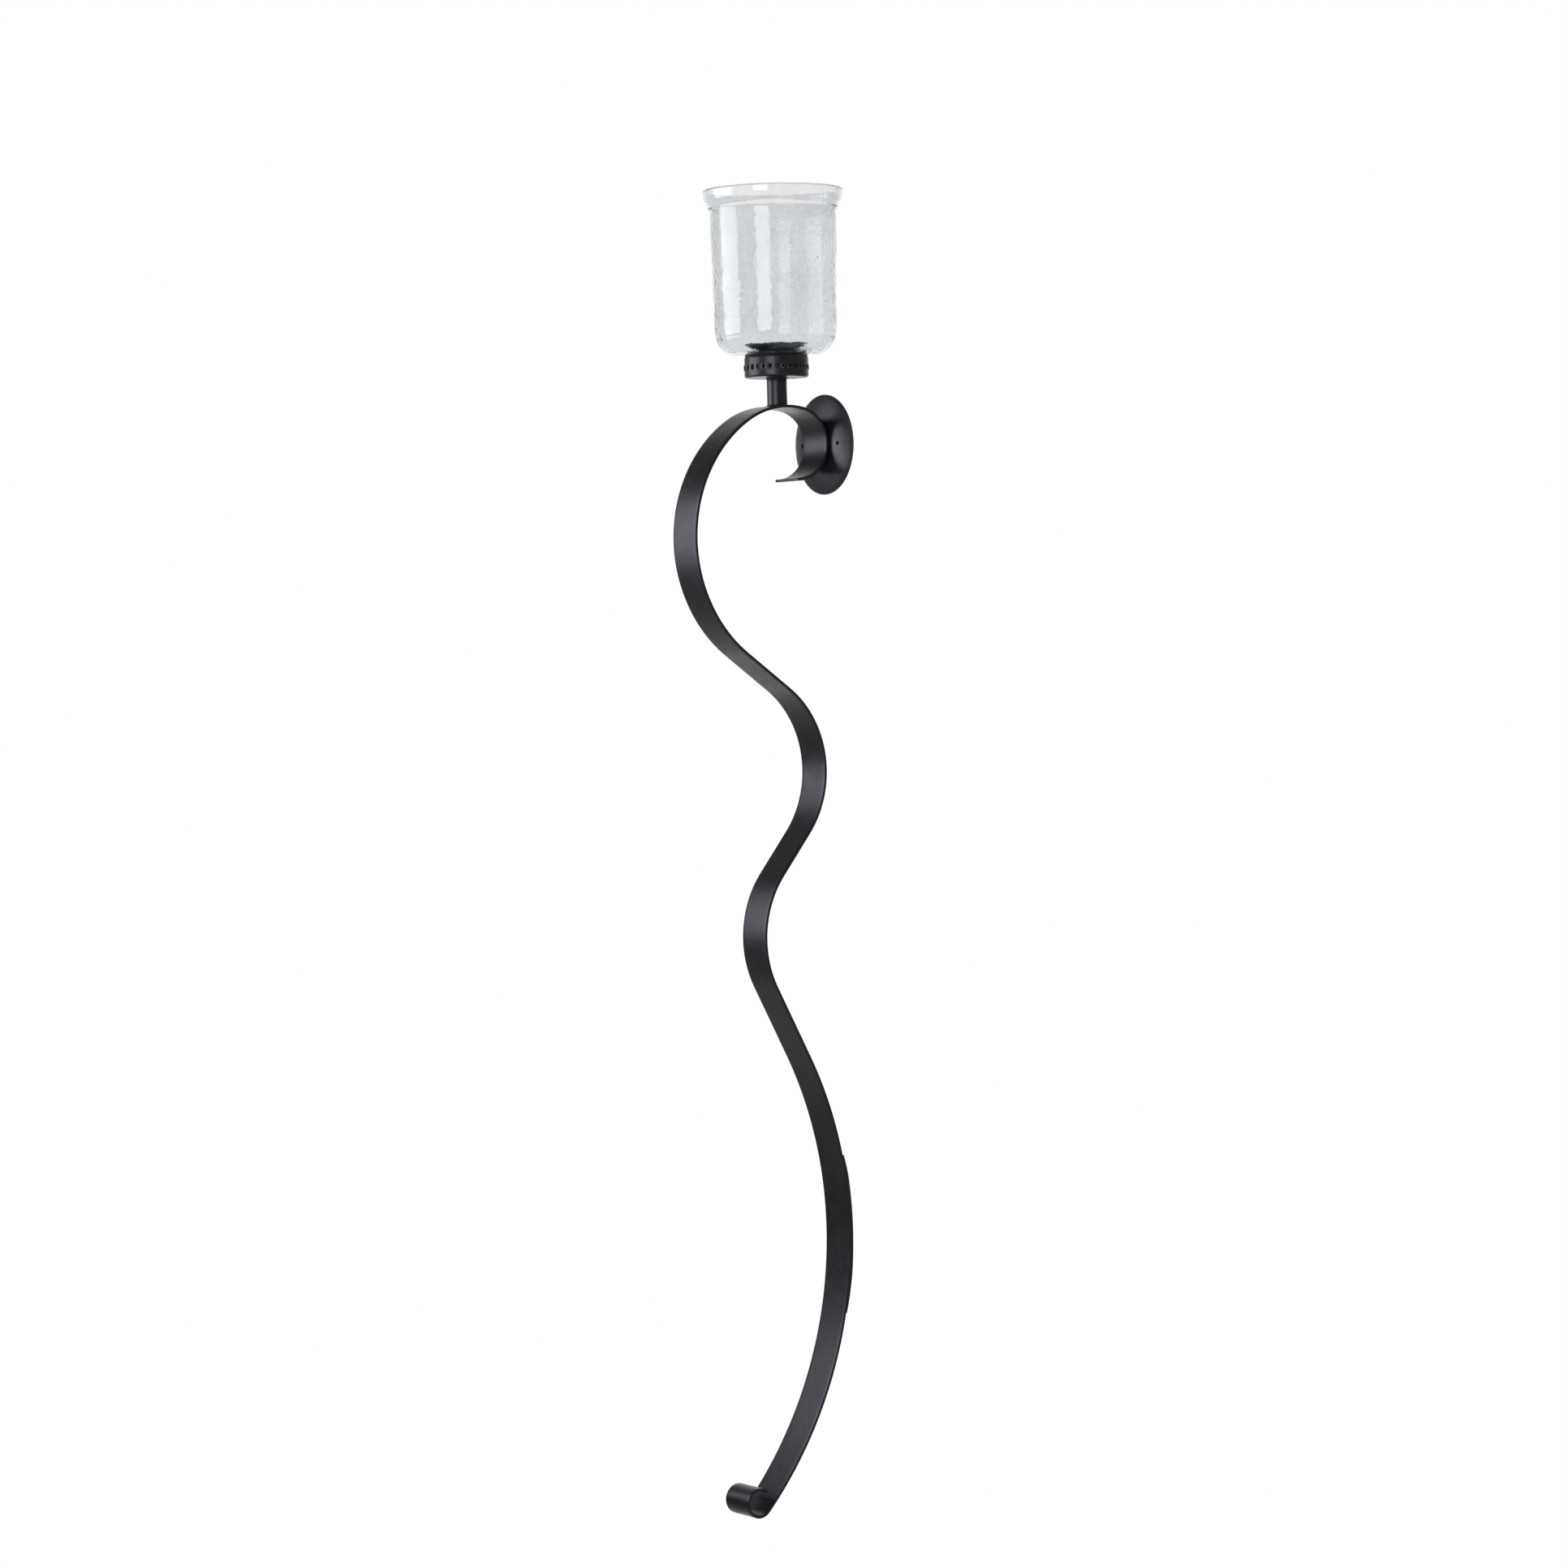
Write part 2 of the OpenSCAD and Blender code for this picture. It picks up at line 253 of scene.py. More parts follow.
# ---------------------------------------------------------------- materials
class Nodes:
    """A small helper that builds one material's node tree."""

    def __init__(self, name):
        self.mat = bpy.data.materials.new(name)
        self.mat.use_nodes = True
        self.tree = self.mat.node_tree
        self.bsdf = next(n for n in self.tree.nodes if n.type == "BSDF_PRINCIPLED")
        self.coord = self.add("ShaderNodeTexCoord").outputs["Object"]

    def add(self, kind, **settings):
        node = self.tree.nodes.new(kind)
        for key, value in settings.items():
            setattr(node, key, value)
        return node

    def link(self, a, b):
        self.tree.links.new(a, b)

    def set(self, **values):
        """Constants on the shader's own sockets, their names with _ for spaces."""
        for key, value in values.items():
            self.bsdf.inputs[key.replace("_", " ")].default_value = value

    def noise(self, scale, detail, rough, stretch=None):
        """Noise from 0 to 1 in the object's own space, scale bumps to the metre."""
        node = self.add("ShaderNodeTexNoise")
        node.inputs["Scale"].default_value = scale
        node.inputs["Detail"].default_value = detail
        node.inputs["Roughness"].default_value = rough
        source = self.coord
        if stretch:
            mapping = self.add("ShaderNodeMapping")
            mapping.inputs["Scale"].default_value = stretch
            self.link(source, mapping.inputs["Vector"])
            source = mapping.outputs["Vector"]
        self.link(source, node.inputs["Vector"])
        return node.outputs["Fac"]

    def ramp(self, source, stops):
        """Turns the source into values or colours. stops are (place, value or colour)."""
        node = self.add("ShaderNodeValToRGB")
        ramp = node.color_ramp
        while len(ramp.elements) < len(stops):
            ramp.elements.new(0.5)
        for el, (place, value) in zip(ramp.elements, stops):
            el.position = place
            el.color = (*value, 1) if hasattr(value, "__len__") else (value, value, value, 1)
        self.link(source, node.inputs["Fac"])
        return node.outputs["Color"]

    def blend(self, kind, a, b, share):
        """Mixes two colours; share may be a number or a socket."""
        node = self.add("ShaderNodeMix", data_type="RGBA", blend_type=kind)
        for socket, value in ((node.inputs[6], a), (node.inputs[7], b), (node.inputs[0], share)):
            if isinstance(value, bpy.types.NodeSocket):
                self.link(value, socket)
            else:
                socket.default_value = value
        return node.outputs[2]

    def bump(self, height, distance, strength, before=None):
        """A bump that high in metres, laid over the one before."""
        node = self.add("ShaderNodeBump")
        node.inputs["Distance"].default_value = distance
        node.inputs["Strength"].default_value = strength
        self.link(height, node.inputs["Height"])
        if before:
            self.link(before, node.inputs["Normal"])
        self.link(node.outputs["Normal"], self.bsdf.inputs["Normal"])
        return node.outputs["Normal"]


def powder_coat(name, dark, light, rough_lo, rough_hi):
    """Satin black powder coat: fine orange peel, uneven tone and uneven sheen."""
    n = Nodes(name)
    tone = n.noise(38, 4, 0.6)
    n.link(n.ramp(tone, ((0.3, dark), (0.72, light))), n.bsdf.inputs["Base Color"])
    sheen = n.noise(90, 5, 0.65)
    n.link(n.ramp(sheen, ((0.3, rough_lo), (0.7, rough_hi))), n.bsdf.inputs["Roughness"])
    n.set(Metallic=0.0, Specular_IOR_Level=0.5, IOR=1.5)
    n.bsdf.inputs["Specular Tint"].default_value = (0.89, 0.91, 1.0, 1)
    peel = n.bump(n.noise(1100, 2, 0.5), 0.00004, 0.6)
    n.bump(n.noise(150, 2, 0.5), 0.00012, 0.5, before=peel)
    return n.mat


coat = powder_coat("black_coat", dark=(0.0035, 0.0036, 0.0042), light=(0.0065, 0.0067, 0.0075),
                   rough_lo=0.32, rough_hi=0.42)
coat_weld = powder_coat("black_weld", dark=(0.0035, 0.0036, 0.004), light=(0.009, 0.009, 0.01),
                        rough_lo=0.32, rough_hi=0.5)


def zinc_steel():
    """Bright zinc-plated steel with faint marks along its length."""
    n = Nodes("zinc_steel")
    tone = n.noise(300, 4, 0.6)
    n.link(n.ramp(tone, ((0.3, (0.42, 0.42, 0.43)), (0.7, (0.58, 0.58, 0.58)))),
           n.bsdf.inputs["Base Color"])
    n.link(n.ramp(n.noise(800, 3, 0.6), ((0.3, 0.24), (0.7, 0.4))), n.bsdf.inputs["Roughness"])
    n.set(Metallic=1.0)
    n.bump(n.noise(1500, 3, 0.6, stretch=(1, 1, 0.15)), 0.00002, 0.5)
    return n.mat


def black_felt():
    """Dense black felt with short fibres."""
    n = Nodes("black_felt")
    fibres = n.noise(2600, 5, 0.75)
    n.link(n.ramp(fibres, ((0.3, (0.005, 0.005, 0.0055)), (0.75, (0.02, 0.02, 0.0215)))),
           n.bsdf.inputs["Base Color"])
    n.link(n.ramp(fibres, ((0.3, 0.85), (0.7, 1.0))), n.bsdf.inputs["Roughness"])
    n.set(Sheen_Weight=0.06, Sheen_Roughness=0.6, Specular_IOR_Level=0.15)
    n.bump(fibres, 0.0003, 0.8)
    return n.mat


def matt_rubber():
    """Black rubber with a dull, slightly mottled face."""
    n = Nodes("matt_rubber")
    tone = n.noise(600, 3, 0.6)
    n.link(n.ramp(tone, ((0.3, (0.010, 0.010, 0.010)), (0.7, (0.02, 0.02, 0.02)))),
           n.bsdf.inputs["Base Color"])
    n.link(n.ramp(tone, ((0.3, 0.6), (0.7, 0.8))), n.bsdf.inputs["Roughness"])
    n.bump(tone, 0.00004, 0.6)
    return n.mat


def seeded_glass():
    """Clear blown glass: a faint grey-blue tint, mottled, with slightly uneven faces.

    From haze_low up it turns a little milky, and the bumps get fainter towards the lip.
    """
    haze_low = 90 * MM
    haze_high = 105 * MM
    calm_from = glass_hi.z - 26 * MM
    calm_to = glass_hi.z - 16 * MM
    n = Nodes("seeded_glass")
    tone = n.noise(22, 2, 0.5)
    tint = n.ramp(tone, ((0.3, (0.815, 0.83, 0.84)), (0.7, (0.88, 0.892, 0.90))))
    mottle = n.ramp(n.noise(430, 3, 0.7), ((0.4, (0.92, 0.92, 0.92)), (0.6, (1.0, 1.0, 1.0))))
    n.link(n.blend("MULTIPLY", tint, mottle, 1.0), n.bsdf.inputs["Base Color"])
    n.link(n.ramp(n.noise(260, 4, 0.7), ((0.4, 0.0), (0.75, 0.03))), n.bsdf.inputs["Roughness"])
    n.set(Metallic=0.0, IOR=1.36)
    height = n.add("ShaderNodeSeparateXYZ")
    n.link(n.coord, height.inputs[0])
    n.link(n.ramp(height.outputs["Z"], ((haze_low, 0.995), (haze_high, 0.95))),
           n.bsdf.inputs["Transmission Weight"])
    calm_lip = n.ramp(height.outputs["Z"], ((calm_from, 1.0), (calm_to, 0.25)))
    n.bump(n.blend("MULTIPLY", n.noise(270, 1, 0.5), calm_lip, 1.0), 0.0002, 1.0)
    return n.mat


steel = zinc_steel()
felt = black_felt()
rubber = matt_rubber()
glass = seeded_glass()


# ---------------------------------------------------------------- strap
# Runs of bar from the curl's tip down to the tail, as (turn, radius or length in mm, sweep
# in degrees). turn is 1 for a bend to the left of the way the bar runs, -1 to the right
# and 0 for a straight run.
RUNS = (
    (1, 28.5, 170.8),
    (1, 71.5, 43.5),
    (1, 111.5, 111.6),
    (0, 49.2, 0),
    (-1, 80, 92.4),
    (0, 41.5, 0),
    (1, 82, 66.2),
    (0, 64, 0),
    (-1, 311, 71),
    (-1, 10.8, 268),
)
# The run that rests against the wall, and the way the bar sets out, in degrees.
REST_RUN = 8
TIP_HEADING = -2


def walk(step, max_turn):
    """Poses (y, z, heading, run) along the middle of the bar, in metres and degrees."""
    curl_r = RUNS[0][1] * MM
    curl_y = -(plate_rise + strap_t / 2 + curl_r)
    tip = math.radians(TIP_HEADING)
    poses = [(curl_y + curl_r * math.sin(tip), -curl_r * math.cos(tip), TIP_HEADING, 0)]
    for run, (turn, size, sweep) in enumerate(RUNS):
        y0, z0, h0, _ = poses[-1]
        size *= MM
        length = size * math.radians(sweep) if turn else size
        parts = math.ceil(max(length / step, sweep / max_turn))
        for k in range(1, parts + 1):
            a0 = math.radians(h0)
            if turn == 0:
                d = size * k / parts
                poses.append((y0 + d * math.cos(a0), z0 + d * math.sin(a0), h0, run))
            else:
                h = h0 + turn * sweep * k / parts
                a = math.radians(h)
                poses.append((y0 + turn * size * (math.sin(a) - math.sin(a0)),
                              z0 - turn * size * (math.cos(a) - math.cos(a0)), h, run))
    return poses


def bar_section(half_w, half_t, r, across):
    """Rounded oblong of (u, w) points, u across the bar and w through it."""
    corners = [(half_w, -half_t, r), (half_w, half_t, r), (-half_w, half_t, r),
               (-half_w, -half_t, r)]
    outline = rounded(corners, 5)
    out = []
    n = len(outline)
    for i, p in enumerate(outline):
        q = outline[(i + 1) % n]
        out.append(p)
        if abs(p[0] - q[0]) > half_w:
            out += [(p[0] + (q[0] - p[0]) * k / across, p[1]) for k in range(1, across)]
    return out


def swept_bar(poses, half_w, half_t, r, across, dent, seed, thin=None):
    """A bar with rounded edges and rounded ends along the poses, its faces slightly uneven.

    r rounds its edges, across splits its width and dent is the depth of the unevenness.
    thin(share) gives how much one face is drawn in at that share of the length.
    """
    end_steps = 4
    stations = []
    for k in range(end_steps, 0, -1):
        a = math.pi / 2 * k / end_steps
        stations.append((poses[0], r * (1 - math.sin(a)), r * (1 - math.cos(a))))
    stations += [(p, 0.0, 0.0) for p in poses[1:-1]]
    for k in range(1, end_steps + 1):
        a = math.pi / 2 * k / end_steps
        stations.append((poses[-1], -r * (1 - math.sin(a)), r * (1 - math.cos(a))))
    rings = []
    for n, ((y, z, h, _), along, inset) in enumerate(stations):
        drawn = thin(n / (len(stations) - 1)) if thin else 0.0
        a = math.radians(h)
        y += along * math.cos(a)
        z += along * math.sin(a)
        ring = []
        corner = max(r - inset, r * 0.05)
        for u, w in bar_section(half_w - inset, half_t - inset, corner, across):
            face = max(-1.0, min(1.0, w / half_t))
            p = (u, y, z)
            low = 0.5 + 0.5 * wave(p, 0.022, seed + (3 if face > 0 else 0))
            w -= face * dent * low
            w -= drawn * (0.5 + 0.5 * face)
            u -= (u / half_w) * dent * 0.6 * (0.5 + 0.5 * wave((u, y, z), 0.03, seed + 9))
            ring.append(Vector((u, y - w * math.sin(a), z + w * math.cos(a))))
        rings.append(ring)
    return skin(rings)


strap_poses = walk(3 * MM, 3)
strap_shell = swept_bar(strap_poses, strap_w / 2, strap_t / 2, strap_edge_r, across=10,
                        dent=0.10 * MM, seed=2.0)
piece("strap", [strap_shell], "bracket", ["scroll_arm"], coat, sharp=50)


# ---------------------------------------------------------------- wall pad
def wall_pad_shell():
    """Felt strip along the wall side of the tail's bend, from its own CAD box."""
    upper_taper = 0.17
    lower_taper = 0.3
    end_t = 0.3 * MM
    edge_in = 0.1 * MM
    edge_r = 0.5 * MM
    y0, z0, h0, _ = next(p for p, q in zip(strap_poses, strap_poses[1:]) if q[3] == REST_RUN)
    rest_r = RUNS[REST_RUN][1] * MM
    a0 = math.radians(h0)
    cy = y0 + rest_r * math.sin(a0)
    cz = z0 - rest_r * math.cos(a0)
    back_r = rest_r + strap_t / 2
    thick = pad_hi.y - (cy + back_r)
    half = math.asin((pad_hi.z - pad_lo.z) / 2 / (back_r + thick))
    middle = back_r + thick / 2
    steps = 64
    poses = []
    for k in range(steps + 1):
        a = half * (1 - 2 * k / steps)
        heading = math.degrees(a) - 90
        poses.append((cy + middle * math.cos(a), cz + middle * math.sin(a), heading, 0))

    def thin(share):
        """The felt's cut ends slope down to the bar, the lower one more gently."""
        upper = max(0.0, 1 - share / upper_taper)
        lower = max(0.0, 1 - (1 - share) / lower_taper)
        return (thick - end_t) * max(upper ** 1.5, lower ** 1.5)

    return swept_bar(poses, strap_w / 2 - edge_in, thick / 2, edge_r, across=12,
                     dent=0.12 * MM, seed=31.0, thin=thin)


piece("felt_pad", [wall_pad_shell()], "bracket", ["wall_pad"], felt, sharp=60)


# ---------------------------------------------------------------- wall plate and its welds
def plate_shell():
    """The pressed dome: a thin cap with a flat rounded rim against the wall."""
    rim_edge_r = 0.55 * MM
    back_edge_r = 0.3 * MM
    rim_depth = 3 * MM
    cap_r = plate_r - plate_rim_w
    rise = plate_rise - plate_t
    dome_r = (cap_r ** 2 + rise ** 2) / (2 * rise)
    inner_r = dome_r - plate_t
    out_a = math.degrees(math.asin((cap_r - 0.6 * MM) / dome_r))
    in_a = math.degrees(math.acos((dome_r - plate_rise) / inner_r))
    top = arc(0, plate_rise - dome_r, dome_r, 90, 90 - out_a, 40)
    under = arc(0, plate_rise - dome_r, inner_r, 90 - in_a, 90, 30)
    rim = rounded([(plate_r, plate_t, rim_edge_r), (plate_r, 0, back_edge_r),
                   (plate_r - rim_depth, 0, 0)], 5)
    return lying(turned(top + rim[:-1] + under, 216, (0, 0, 0)))


plate = piece("dome_plate", [plate_shell()], "bracket", ["wall_plate"], coat, sharp=40)


def hole_cutter(x):
    """A drill through the dome."""
    start = -1 * MM
    outline = [(0, start), (plate_hole_r, start), (plate_hole_r, plate_rise), (0, plate_rise)]
    return lying(turned(outline, 48, (x, 0, 0)))


cut(plate, [hole_cutter(side * plate_hole_x) for side in (-1, 1)])


def hole_collar(x):
    """The sheet drawn inwards round a screw hole."""
    edge = 0.2 * MM
    outline = rounded([(plate_hole_r, collar_low, edge), (collar_r, collar_low, edge),
                       (collar_r, collar_high, 0), (plate_hole_r, collar_high, 0)], 4)
    return lying(turned(outline, 48, (x, 0, 0)))


collars = [hole_collar(side * plate_hole_x) for side in (-1, 1)]
piece("hole_collars", collars, "bracket", ["wall_plate"], coat)


def plate_bead(side):
    """A hand-laid weld bead across the wedge between the curl and the dome."""
    bead_r = 1.9 * MM
    half = 9 * MM
    ripple = 1.5 * MM
    y0 = -plate_rise - 0.5 * MM
    z0 = side * 8.5 * MM
    rings = []
    steps = 76
    for k in range(steps + 1):
        t = -1 + 2 * k / steps
        x = t * (half + bead_r * 0.98)
        over = max(0.0, abs(x) - half)
        r = math.sqrt(max(bead_r ** 2 - over ** 2, (0.1 * MM) ** 2))
        r *= 1 + 0.05 * abs(math.sin(math.pi * x / ripple)) + 0.08 * wave((x, 0, z0), 0.004, 5)
        dy = 0.25 * MM * wave((x, 1, z0), 0.006, 8)
        ring = [Vector((x, y0 + dy + r * math.cos(a), z0 + r * math.sin(a)))
                for a in (2 * math.pi * i / 24 for i in range(24))]
        rings.append(ring)
    return skin(rings)


piece("plate_beads", [plate_bead(1), plate_bead(-1)], "bracket", ["plate_welds"],
      coat_weld, sharp=60)


# ---------------------------------------------------------------- stem and its welds
stem_at = (0, stem_y, 0)
stem_sink = 1.2 * MM
stem_edge_r = 0.1 * MM
shoulder_r = RUNS[1][1] * MM + strap_t / 2


def saddle(y):
    """How far the crest has fallen at a distance y in front of or behind the stem's axis."""
    return math.sqrt(shoulder_r ** 2 - y ** 2) - shoulder_r


stem_top = cup_lo.z
stem_foot = crest_z - stem_sink
stem_outline = rounded([(stem_r, stem_foot, 0), (stem_r, stem_top, stem_edge_r),
                        (stem_r - stem_wall, stem_top, stem_edge_r),
                        (stem_r - stem_wall, stem_foot, 0)], 2)
piece("stem", [turned(spread(stem_outline, 4 * MM), 72, stem_at)], "bracket", ["stem_tube"],
      coat)


def weld_ring(z, up, on_strap, seed):
    """A rippled weld bead round the stem; up is 1 when it stands on what is below."""
    leg = 1.1 * MM
    bite = 0.3 * MM
    sink = -0.4 * MM
    ripples = 34
    outline = [(stem_r - bite, sink), (stem_r + leg * 0.98, sink), (stem_r + leg, 0.1 * MM),
               (stem_r + leg * 0.82, leg * 0.42), (stem_r + leg * 0.5, leg * 0.72),
               (stem_r + leg * 0.15, leg * 0.95), (stem_r - bite, leg)]
    outline = spread(outline, 0.5 * MM)

    def shift(a, r, h):
        out = max(0.0, r - stem_r)
        drift = 0.6 * wave((math.cos(a), math.sin(a), z), 0.4, seed)
        lift = 0.05 * abs(math.sin(a * ripples / 2 + drift))
        uneven = 0.12 * wave((math.cos(a), math.sin(a), 0), 0.5, seed)
        r = min(stem_r, r) + out * (0.86 + lift + uneven)
        drop = saddle(r * math.sin(a)) if on_strap else 0.0
        return r, z + up * (h * (0.92 + lift)) + drop

    return turned(outline, 208, stem_at, shift)


piece("stem_foot_bead", [weld_ring(crest_z, 1, True, 3.0)], "bracket", ["stem_foot_weld"],
      coat_weld, sharp=60)
piece("stem_head_bead", [weld_ring(stem_top, -1, False, 12.0)], "bracket", ["stem_head_weld"],
      coat_weld, sharp=60)


# ---------------------------------------------------------------- pierced cup
CUP_HOLES = 30
# Each hole sits in a four-sided cell of the wall, with this many points along each side.
CELL_SIDE = 4
hole_w = 2.2 * MM
hole_h = 4.2 * MM
hole_turn = math.radians(1.5)
burr = 0.6 * MM


def cup_shells():
    """The cup: a band of cells with pierced diamonds, and turned parts below and above it."""
    height = cup_hi.z - cup_lo.z
    mid = height / 2
    band = 3.1 * MM
    sector = 2 * math.pi / CUP_HOLES
    at = (0, stem_y, cup_lo.z)

    def place(a, r, z):
        return Vector((at[0] + r * math.cos(a), at[1] + r * math.sin(a), at[2] + z))

    def border(k):
        """Point k round the cell's edge, in units of half the cell, anticlockwise from a corner."""
        side, step = divmod(k, CELL_SIDE)
        t = -1 + 2 * step / CELL_SIDE
        return ((t, -1), (1, t), (-t, 1), (-1, -t))[side]

    def diamond(k):
        """Point k round the hole, in units of half its width and height."""
        side, step = divmod(k - CELL_SIDE // 2, CELL_SIDE)
        t = step / CELL_SIDE
        corners = ((0, -1), (1, 0), (0, 1), (-1, 0))
        a, b = corners[side % 4], corners[(side + 1) % 4]
        return (a[0] + (b[0] - a[0]) * t, a[1] + (b[1] - a[1]) * t)

    shells = []
    count = 4 * CELL_SIDE
    stops = (0.0, 0.12, 0.3, 0.6, 1.0)
    for n in range(CUP_HOLES):
        a0 = hole_turn + sector * n
        lift = burr * (0.8 + 0.4 * wave((n, 0, 0), 1.7, 4.0))
        size = 0.96 + 0.16 * wave((n, 0, 0), 1.3, 11.0)
        lean = 0.35 * wave((n, 0, 0), 1.1, 17.0)
        rings = []
        for face, order in ((0, reversed(stops)), (1, stops)):
            for s in order:
                ring = []
                for k in range(count):
                    bx, bz = border(k)
                    dx, dz = diamond(k)
                    hole_x = (dx + lean * dz) * size * hole_w / 2
                    hole_z = (dz - lean * dx * 0.3) * size * hole_h / 2
                    x = hole_x * (1 - s) + bx * sector * cup_r / 2 * s
                    z = hole_z * (1 - s) + bz * band * s
                    raised = lift * (1 - s) ** 4
                    r = cup_r - (0 if face else cup_t) + raised
                    ring.append(place(a0 + x / cup_r, r, mid + z))
                rings.append(ring)
        shells.append(skin(rings, caps=False))
    steps = CUP_HOLES * CELL_SIDE
    corner = 1.6 * MM
    edge = 0.2 * MM
    lower = [(cup_r, mid - band), (cup_r, corner)]
    lower += arc(cup_r - corner, corner, corner, 0, -90, 6)
    lower += [(screw_hole_r + edge, 0), (screw_hole_r, edge), (screw_hole_r, cup_t - edge),
              (screw_hole_r + edge, cup_t)]
    lower += arc(cup_r - corner, corner, corner - cup_t, -90, 0, 4)
    lower += [(cup_r - cup_t, mid - band)]
    lip = 0.35 * MM
    upper = [(cup_r - cup_t, mid + band), (cup_r - cup_t, height - lip)]
    upper += arc(cup_r - cup_t + lip, height - lip, lip, 180, 90, 4)
    upper += arc(cup_r - lip, height - lip, lip, 90, 0, 4)
    upper += [(cup_r, mid + band)]
    for outline in (lower, upper):
        shells.append(turned(spread(outline, 3 * MM, closed=False), steps, at, closed=False,
                             start=hole_turn))
    return shells


piece("cup", cup_shells(), "bracket", ["pierced_cup"], coat, sharp=38)


# ---------------------------------------------------------------- glass, gaskets and pan
def ring_shell(lo, hi, inner, edge, uneven, seed):
    """A soft flat ring that fills the box lo to hi, with the given inner radius."""
    outer = hi.x
    top = hi.z - lo.z
    section = rounded([(inner, 0, edge), (outer, 0, edge), (outer, top, edge), (inner, top, edge)], 3)
    outline = spread(section, 1.5 * MM)

    def shift(a, r, z):
        n = wave((r * math.cos(a), r * math.sin(a), z), 0.006, seed)
        rim = (r - (inner + outer) / 2) / ((outer - inner) / 2)
        return r - rim * uneven * (0.5 + 0.5 * n), z

    return turned(outline, 144, (0, stem_y, lo.z), shift)


gasket_w = 4 * MM
glass_ring = ring_shell(ring_lo, ring_hi, ring_hi.x - gasket_w, edge=0.25 * MM, uneven=0.3 * MM, seed=2.0)
piece("glass_seat_ring", [glass_ring], "glass", ["glass_gasket"], felt, sharp=60)
pan_ring = ring_shell(pan_ring_lo, pan_ring_hi, screw_hole_r, edge=0.2 * MM, uneven=0.1 * MM, seed=6.0)
piece("pan_seat_ring", [pan_ring], "pan", ["pan_gasket"], rubber, sharp=60)

glass_h = glass_hi.z - glass_lo.z
rim_r = glass_hi.x
lip_h = 4 * MM
flare_h = 20 * MM
glass_low_r = 49.2 * MM
glass_top_r = 51.2 * MM
bottom_r = 21 * MM


def wall_middle(z):
    """The radius of the middle of the glass wall at a height above the glass's foot."""
    return glass_low_r + (glass_top_r - glass_low_r) * z / glass_h - glass_wall / 2


def glass_outline():
    """Round-bottomed beaker with a hole in its floor and an S-shaped flare under a plain lip."""
    reach = rim_r - glass_top_r
    rise = flare_h - lip_h
    bend = 2 * math.degrees(math.atan(reach / rise))
    flare_r = rise / math.sin(math.radians(bend)) / 2
    x1 = glass_top_r - glass_wall / 2 + flare_r
    z1 = glass_h - flare_h
    x2 = x1 - 2 * flare_r * math.cos(math.radians(bend))
    z2 = z1 + rise

    def flare(d):
        """The flare's two bends, d outside the middle of the wall."""
        return (arc(x1, z1, flare_r - d, 180, 180 - bend, 10)
                + arc(x2, z2, flare_r + d, -bend, 0, 10)[1:])

    outside = flare(glass_wall / 2)
    inside = list(reversed(flare(-glass_wall / 2)))
    inner_r = bottom_r - glass_wall
    hole_edge = 0.5 * MM
    points = [(glass_hole_r, hole_edge), (glass_hole_r + hole_edge * 0.3, hole_edge * 0.3),
              (glass_hole_r + hole_edge, 0)]
    points += arc(glass_low_r - bottom_r, bottom_r, bottom_r, 270, 360, 18)
    points += outside
    points += arc(rim_r - glass_wall / 2, glass_h - glass_wall / 2, glass_wall / 2, 0, 180, 14)
    points += inside
    points += arc(glass_low_r - bottom_r, glass_floor + inner_r, inner_r, 360, 270, 18)
    points += [(glass_hole_r + hole_edge, glass_floor),
               (glass_hole_r + hole_edge * 0.3, glass_floor - hole_edge * 0.3),
               (glass_hole_r, glass_floor - hole_edge)]
    return spread(points, 2.5 * MM)


def glass_shift(a, r, z):
    """Blown glass: both faces wander a little, each in its own way, but not the floor or rim."""
    still_r = 30 * MM
    still_z = glass_h - 0.5 * MM
    draw_in = 0.3 * MM
    if r < still_r or z > still_z:
        return r, z
    outer = r > wall_middle(z)
    p = (r * math.cos(a), r * math.sin(a), z)
    fade = min(1.0, (r - still_r) / (8 * MM)) * min(1.0, (still_z - z) / (6 * MM))
    slow = wave(p, 0.034, 1.0 if outer else 20.0)
    fast = wave(p, 0.011, 5.0 if outer else 25.0)
    amount = (0.28 * slow + 0.07 * fast) * MM
    return r + fade * (amount - (draw_in if outer else -draw_in)), z


def bubble(x, y, z, r, tall):
    """A small closed seed with its faces turned inwards, as air inside glass has."""
    rows = 8
    round_steps = 12
    rings = []
    for k in range(1, rows):
        b = math.pi * k / rows
        wide = r * math.sin(b)
        turns = [2 * math.pi * i / round_steps for i in range(round_steps)]
        rings.append([Vector((x + wide * math.cos(a), y + wide * math.sin(a), z + r * tall * math.cos(b)))
                      for a in turns])
    return skin(rings)


def seeds(count):
    """Seeds scattered over the straight part of the glass, midway through its wall."""
    out = []
    for _ in range(count):
        a = random.uniform(0, 2 * math.pi)
        z = random.uniform(24 * MM, glass_h - 22 * MM)
        r = random.choice((0.22, 0.28, 0.35, 0.5)) * MM
        mid = wall_middle(z)
        out.append(bubble(mid * math.cos(a), stem_y + mid * math.sin(a), glass_lo.z + z, r,
                          random.uniform(1.0, 1.9)))
    return out


glass_shell = turned(glass_outline(), 192, (0, stem_y, glass_lo.z), glass_shift)
piece("hurricane", [glass_shell], "glass", ["hurricane_glass"], glass, sharp=60,
      voids=seeds(70))

pan_r = pan_hi.x
pan_t = 1.2 * MM
pan_h = pan_hi.z - pan_lo.z
pan_foot_r = 18 * MM


